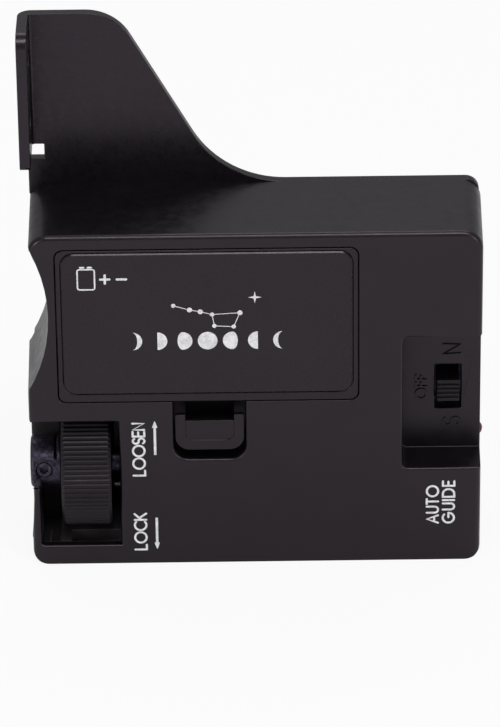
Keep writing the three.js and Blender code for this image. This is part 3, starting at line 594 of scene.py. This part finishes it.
# Each letter: its width, then its strokes, on a cap height of 1.
LETTERS = {
    "A": (0.76, [[(0, 0), (0.38, 1), (0.76, 0)], [(0.14, 0.34), (0.62, 0.34)]]),
    "C": (0.82, [arc(0.5, 0.5, 0.5, 0.5, 50, 310)]),
    "D": (0.78, [[(0.3, 1), (0, 1), (0, 0), (0.3, 0)] + arc(0.3, 0.5, 0.48, 0.5, -85, 90)]),
    "E": (0.46, [[(0.46, 1), (0, 1), (0, 0), (0.46, 0)], [(0, 0.52), (0.42, 0.52)]]),
    "F": (0.46, [[(0.46, 1), (0, 1), (0, 0)], [(0, 0.52), (0.4, 0.52)]]),
    "G": (1.0, [arc(0.5, 0.5, 0.5, 0.5, 48, 360), [(1.0, 0.5), (0.56, 0.5)]]),
    "I": (0.0, [[(0, 0), (0, 1)]]),
    "K": (0.62, [[(0, 0), (0, 1)], [(0.58, 1), (0.04, 0.46)], [(0.18, 0.6), (0.62, 0)]]),
    "L": (0.48, [[(0, 1), (0, 0), (0.48, 0)]]),
    "N": (0.62, [[(0, 0), (0, 1), (0.62, 0), (0.62, 1)]]),
    "O": (1.04, [arc(0.52, 0.5, 0.52, 0.5, 0, 360, 40)]),
    "S": (0.52, [arc(0.26, 0.74, 0.25, 0.26, 30, 255, 16) + arc(0.26, 0.25, 0.26, 0.25, 75, -150, 16)]),
    "T": (0.5, [[(0, 1), (0.5, 1)], [(0.25, 1), (0.25, 0)]]),
    "U": (0.62, [[(0, 1)] + arc(0.31, 0.31, 0.31, 0.31, 180, 360, 14) + [(0.62, 1)]]),
}


def two_loops(bm, outline, back, front):
    """The vertices of an outline of (x, z) points in each of two Y planes."""
    near = [bm.verts.new((x, front, z)) for x, z in outline]
    far = [bm.verts.new((x, back, z)) for x, z in outline]
    return near, far


def ring(bm, outline, hole, back, front):
    """A closed ring between two Y planes, from an outline and a hole with as many points."""
    near_a, far_a = two_loops(bm, outline, back, front)
    near_b, far_b = two_loops(bm, hole, back, front)
    count = len(near_a)
    for i in range(count):
        j = (i + 1) % count
        bm.faces.new((near_a[i], near_a[j], near_b[j], near_b[i]))
        bm.faces.new((far_a[j], far_a[i], far_b[i], far_b[j]))
        bm.faces.new((near_a[j], near_a[i], far_a[i], far_a[j]))
        bm.faces.new((near_b[i], near_b[j], far_b[j], far_b[i]))


def prism(bm, outline, back, front):
    """A closed prism between two Y planes."""
    near, far = two_loops(bm, outline, back, front)
    bm.faces.new(near)
    bm.faces.new(list(reversed(far)))
    count = len(near)
    for i in range(count):
        j = (i + 1) % count
        bm.faces.new((near[j], near[i], far[i], far[j]))


def offset_side(points, half, closed):
    """The points moved sideways by half a stroke, with mitred corners."""
    longest_mitre = 3.2
    moved = []
    count = len(points)
    for i, (x, z) in enumerate(points):
        before = points[i - 1] if closed or i > 0 else None
        after = points[(i + 1) % count] if closed or i < count - 1 else None
        normals = []
        for a, b in ((before, (x, z)), ((x, z), after)):
            if a is None or b is None:
                continue
            dx, dz = b[0] - a[0], b[1] - a[1]
            length = math.hypot(dx, dz)
            normals.append((-dz / length, dx / length))
        nx = sum(n[0] for n in normals) / len(normals)
        nz = sum(n[1] for n in normals) / len(normals)
        stretch = min(1 / (nx * nx + nz * nz), longest_mitre)
        moved.append((x + nx * stretch * half, z + nz * stretch * half))
    return moved


def ribbon(bm, points, half, back, front):
    """A flat stroke of even width with round ends, or a ring when the last point meets the first."""
    closed = math.dist(points[0], points[-1]) < 1e-7
    if closed:
        loop = points[:-1]
        ring(bm, offset_side(loop, half, True), offset_side(loop, -half, True), back, front)
        return
    outline = offset_side(points, half, False)
    outline += round_end(points[-2], points[-1], half)
    outline += list(reversed(offset_side(points, -half, False)))
    outline += round_end(points[1], points[0], half)
    prism(bm, outline, back, front)


def round_end(inner, end, half, steps=6):
    """A half circle of points round a stroke's end, without its first and last."""
    heading = math.degrees(math.atan2(end[1] - inner[1], end[0] - inner[0]))
    return arc(*end, half, half, heading + 90, heading - 90, steps)[1:-1]


LAYER = 0.001 * MM  # the step between strokes that cross


def lettering(bm, text, baseline, start, cap, gap, half, back, front):
    """Letters reading upwards from height start, with their caps towards -X from the baseline.

    Strokes that cross are a layer apart, so that no two of their faces coincide.
    """
    cursor = start
    layer = 0
    for character in text:
        width, strokes = LETTERS[character]
        for stroke in strokes:
            points = [(baseline - y * cap, cursor + x * cap) for x, y in stroke]
            layer += 1
            ribbon(bm, points, half, back, front - layer * LAYER)
        cursor += width * cap + gap


def arrow(bm, x, tail, tip, half, back, front):
    """A straight arrow along Z: an even shaft and a short solid head."""
    up = 1 if tip > tail else -1
    neck = tip - up * 1.35 * MM
    barb, point = 0.52 * MM, 0.08 * MM
    left = [(x - half, tail), (x - half, neck), (x - barb, neck), (x - point, tip)]
    right = [(2 * x - side, z) for side, z in reversed(left)]
    prism(bm, left + right, back, front)


INK = 0.02 * MM  # how far print stands off its surface
ROOT = 0.05 * MM  # how far its back is sunk into it
STROKE = 0.205 * MM  # half a letter's stroke


def printed_face(materials):
    """The white lettering and arrows on the housing's face."""
    bm = bmesh.new()
    back, front = FACE + ROOT, FACE - INK
    axis_z = (WHEEL_LOW.z + WHEEL_HIGH.z) / 2
    baseline = WHEEL_HIGH.x + 6.4 * MM
    cap = 2.2 * MM
    for word, start, gap in (("LOCK", -14.35, 0.46), ("LOOSEN", 1.85, 0.42)):
        lettering(bm, word, baseline, axis_z + start * MM, cap, gap * MM, STROKE, back, front)
    arrow_x = baseline + 2 * MM
    for tail, tip in ((6.3, 13.5), (-7.4, -14.2)):
        arrow(bm, arrow_x, axis_z + tail * MM, axis_z + tip * MM, 0.24 * MM, back, front)
    line_x, port_z = KNOB_LOW.x + 0.1 * MM, HOUSING_LOW.z + 8.15 * MM
    for word, gap in (("AUTO", 0.58), ("GUIDE", 0.72)):
        lettering(bm, word, line_x, port_z, cap * 0.98, gap * MM, STROKE, back, front)
        line_x += 3.05 * MM
    mesh = mesh_from("printed_face", bm, smooth=False)
    piece("printed_face", mesh, materials["white_ink"], "housing")


def raised_letters(materials):
    """The moulded switch positions on the recess floor: N above, OFF beside and S below the slot."""
    floor = KNOB_HIGH.y - 4.25 * MM
    bm = bmesh.new()
    back, front = floor + 0.1 * MM, floor - 0.3 * MM
    slot_x, slot_z = (KNOB_LOW.x + KNOB_HIGH.x) / 2, (KNOB_LOW.z + KNOB_HIGH.z) / 2
    cap, small_cap, gap = 3.2 * MM, 2.0 * MM, 0.55 * MM
    for letter, start in (("N", 7), ("S", -8.4)):
        lettering(bm, letter, slot_x + 2.3 * MM, slot_z + start * MM, cap, 0, 0.22 * MM, back, front)
    lettering(bm, "OFF", slot_x - 4.1 * MM, slot_z - 2.6 * MM, small_cap, gap, 0.2 * MM, back, front)
    mesh = mesh_from("raised_letters", bm, smooth=False)
    obj = piece("raised_letters", mesh, materials["housing_plastic"], "housing")
    soften(obj, SMALL_EDGE)


def moon(bm, x, z, radius, lit, back, front):
    """One moon phase: lit runs from a thin crescent at 0.2 to full at 1; negative lights the left side."""
    if abs(lit) >= 1:
        prism(bm, arc(x, z, radius, radius, 0, 345, 23), back, front)
        return
    side = 1 if lit > 0 else -1
    bulge = radius * (1 - 2 * abs(lit))
    horn = 84
    outer = arc(x, z, side * radius, radius, -horn, horn)
    inner = arc(x, z, side * bulge, radius * 0.995, horn, -horn)
    prism(bm, outer + inner, back, front)


def label_emblem(materials):
    """A generic night-sky device for the door: moon phases under a map of the Plough."""
    bm = bmesh.new()
    back, front = LABEL_LOW.y + ROOT, LABEL_LOW.y - INK
    middle_x = (LABEL_LOW.x + LABEL_HIGH.x) / 2
    row_z = LABEL_LOW.z + (LABEL_HIGH.z - LABEL_LOW.z) * 0.38
    phases = [0.25, 0.5, 0.75, 1, -0.75, -0.5, -0.25]
    pitch, radius, margin = 4.7 * MM, 1.85 * MM, 3.1 * MM
    for i, lit in enumerate(phases):
        moon(bm, middle_x + (i - 3) * pitch, row_z, radius, lit, back, front)
    star_map(bm, middle_x - 6.3 * MM, row_z + 7.4 * MM, back, front)
    battery_symbol(bm, LABEL_LOW.x + margin, LABEL_HIGH.z - margin, back, front)
    mesh = mesh_from("label_emblem", bm, smooth=False)
    piece("label_emblem", mesh, materials["white_ink"], "door")


# The Plough's stars from the handle's end, right and up from it in millimetres.
DIPPER = [(0, 0), (3.0, -0.9), (5.0, -1.3), (7.2, -1.9), (7.6, -4.3), (11.2, -4.5), (12.4, -1.6)]


def star_map(bm, left, top, back, front):
    """The seven stars of the Plough joined by fine lines, and a four-pointed pole star."""
    at = [(left + x * MM, top + z * MM) for x, z in DIPPER]
    bright = (1, 2, 6)
    over_lines = front - LAYER
    lines = list(zip(at, at[1:])) + [(at[-1], at[3])]
    for i, (one, other) in enumerate(lines):
        ribbon(bm, [one, other], 0.07 * MM, back, front - 0.1 * i * LAYER)
    for i, (x, z) in enumerate(at):
        size = (0.5 if i in bright else 0.42) * MM
        prism(bm, arc(x, z, size, size, 0, 340, 17), back, over_lines)
    pole_x, pole_z = left + 15.2 * MM, top + 1.6 * MM
    star = []
    for i in range(8):
        reach = (1.25 if i % 2 == 0 else 0.32) * MM
        angle = math.radians(45 * i)
        star.append((pole_x + reach * math.cos(angle), pole_z + reach * math.sin(angle)))
    prism(bm, star, back, over_lines)


def battery_symbol(bm, left, top, back, front):
    """A plain battery outline with its two snaps, and plus and minus signs beside it."""
    width, height, corner, half = 3.2 * MM, 4.2 * MM, 0.4 * MM, 0.14 * MM
    right, bottom = left + width, top - height
    outline = []
    turns = ((right, top), (left, top), (left, bottom), (right, bottom))
    for i, (x, z) in enumerate(turns):
        centre_x = x + (corner if x == left else -corner)
        centre_z = z + (corner if z == bottom else -corner)
        outline += arc(centre_x, centre_z, corner, corner, 90 * i, 90 * i + 90, 4)
    ribbon(bm, outline + outline[:1], half, back, front)
    snap, snap_z = 0.32 * MM, top + 0.42 * MM
    for x in (left + width * 0.28, right - width * 0.28):
        ribbon(bm, [(x - snap, snap_z), (x + snap, snap_z)], half * 1.3, back, front)
    reach, bold, sign_z = 0.85 * MM, half * 1.6, bottom + height / 2
    plus_x = right + 1.9 * MM
    for x in (plus_x, plus_x + 3.1 * MM):
        ribbon(bm, [(x - reach, sign_z), (x + reach, sign_z)], bold, back, front)
    ribbon(bm, [(plus_x, sign_z - reach), (plus_x, sign_z + reach)], bold, back, front - LAYER)


# ---------------------------------------------------------------- stage, light and camera

def studio_floor():
    """A wide pale floor under the drive."""
    half = 2.0
    bm = bmesh.new()
    corners = [(-half, -half), (half, -half), (half, half), (-half, half)]
    bm.faces.new([bm.verts.new((x, y, -0.02 * MM)) for x, y in corners])
    mesh = bpy.data.meshes.new("studio_floor")
    bm.to_mesh(mesh)
    bm.free()
    obj = bpy.data.objects.new("studio_floor", mesh)
    bpy.context.scene.collection.objects.link(obj)
    mesh.materials.append(floor_white())


def floor_white():
    """Paper-white floor that the camera sees nearly evenly lit, with a trace of the contact shadow."""
    finish = Finish("floor_white", (0.85, 0.85, 0.85, 1), 0.9)
    glow = finish.nodes.new("ShaderNodeEmission")
    mix = finish.nodes.new("ShaderNodeMixShader")
    path = finish.nodes.new("ShaderNodeLightPath")
    share = finish.nodes.new("ShaderNodeMath")
    share.operation = "MULTIPLY"
    share.inputs[1].default_value = 0.9
    finish.links.new(path.outputs["Is Camera Ray"], share.inputs[0])
    finish.links.new(share.outputs[0], mix.inputs["Fac"])
    finish.links.new(finish.surface.outputs[0], mix.inputs[1])
    finish.links.new(glow.outputs[0], mix.inputs[2])
    finish.links.new(mix.outputs[0], finish.nodes["Material Output"].inputs["Surface"])
    return finish.material


def soft_light(name, place, aim, size, power):
    data = bpy.data.lights.new(name, "AREA")
    data.shape = "RECTANGLE"
    data.size, data.size_y = size
    data.energy = power
    obj = bpy.data.objects.new(name, data)
    obj.location = place
    obj.rotation_euler = (Vector(aim) - Vector(place)).to_track_quat("-Z", "Y").to_euler()
    bpy.context.scene.collection.objects.link(obj)


ROOM_FRONT = 0.28
ROOM_BACK = 0.36


def white_room():
    """A world that lights the drive a little more from behind, and that the camera sees as plain white."""
    world = bpy.data.worlds.new("studio_white")
    world.use_nodes = True
    nodes, links = world.node_tree.nodes, world.node_tree.links
    nodes["Background"].inputs["Color"].default_value = (1, 1, 1, 1)
    axis = nodes.new("ShaderNodeSeparateXYZ")
    links.new(nodes.new("ShaderNodeTexCoord").outputs["Generated"], axis.inputs["Vector"])
    room = nodes.new("ShaderNodeMapRange")
    room.inputs["From Min"].default_value = -0.6
    room.inputs["From Max"].default_value = 0.8
    room.inputs["To Min"].default_value = ROOM_FRONT
    room.inputs["To Max"].default_value = ROOM_BACK
    links.new(axis.outputs["Y"], room.inputs["Value"])
    strength = nodes.new("ShaderNodeMix")
    strength.inputs["B"].default_value = 1
    links.new(nodes.new("ShaderNodeLightPath").outputs["Is Camera Ray"], strength.inputs["Factor"])
    links.new(room.outputs["Result"], strength.inputs["A"])
    links.new(strength.outputs["Result"], nodes["Background"].inputs["Strength"])
    bpy.context.scene.world = world


def studio():
    """The white room and pale floor, with lamps high behind and in front and a low fill at each side."""
    white_room()
    middle = (0, 0, 45 * MM)
    soft_light("back_high", (0.05, 0.5, 0.8), middle, (0.7, 0.35), 1.6)
    soft_light("front_high", (0.12, -0.42, 0.85), middle, (0.6, 0.3), 3.6)
    for name, side in (("fill_left", -1), ("fill_right", 1)):
        soft_light(name, (side * 0.68, -0.72, 0.3), middle, (0.3, 0.3), 1.9)
    studio_floor()
    bpy.context.scene.view_settings.view_transform = "Standard"
    bpy.context.scene.view_settings.look = "None"


def photo_camera():
    """A long lens 28 degrees above the horizon, rolled slightly, looking at a point on the face."""
    tilt, roll, distance = math.radians(28), math.radians(0.7), 0.918
    target = Vector((-0.85 * MM, FACE, 43.05 * MM))
    right = Vector((1, 0, 0))
    up = Vector((0, math.sin(tilt), math.cos(tilt)))
    back = Vector((0, -math.cos(tilt), math.sin(tilt)))
    rolled_right = right * math.cos(roll) - up * math.sin(roll)
    rolled_up = right * math.sin(roll) + up * math.cos(roll)
    matrix = Matrix.Identity(4)
    for column, axis in enumerate((rolled_right, rolled_up, back)):
        matrix.col[column][:3] = axis
    matrix.translation = target + back * distance
    data = bpy.data.cameras.new("photo_camera")
    data.lens = 242.4
    data.sensor_width = 36
    data.clip_start = 0.01
    obj = bpy.data.objects.new("photo_camera", data)
    obj.matrix_world = matrix
    bpy.context.scene.collection.objects.link(obj)
    bpy.context.scene.camera = obj


# ---------------------------------------------------------------- the scene

def build():
    materials = build_materials()
    materials["white_ink"] = white_ink()
    finish_nodes(materials)
    lock_wheel(materials)
    printed_face(materials)
    raised_letters(materials)
    label_emblem(materials)
    studio()
    photo_camera()


build()
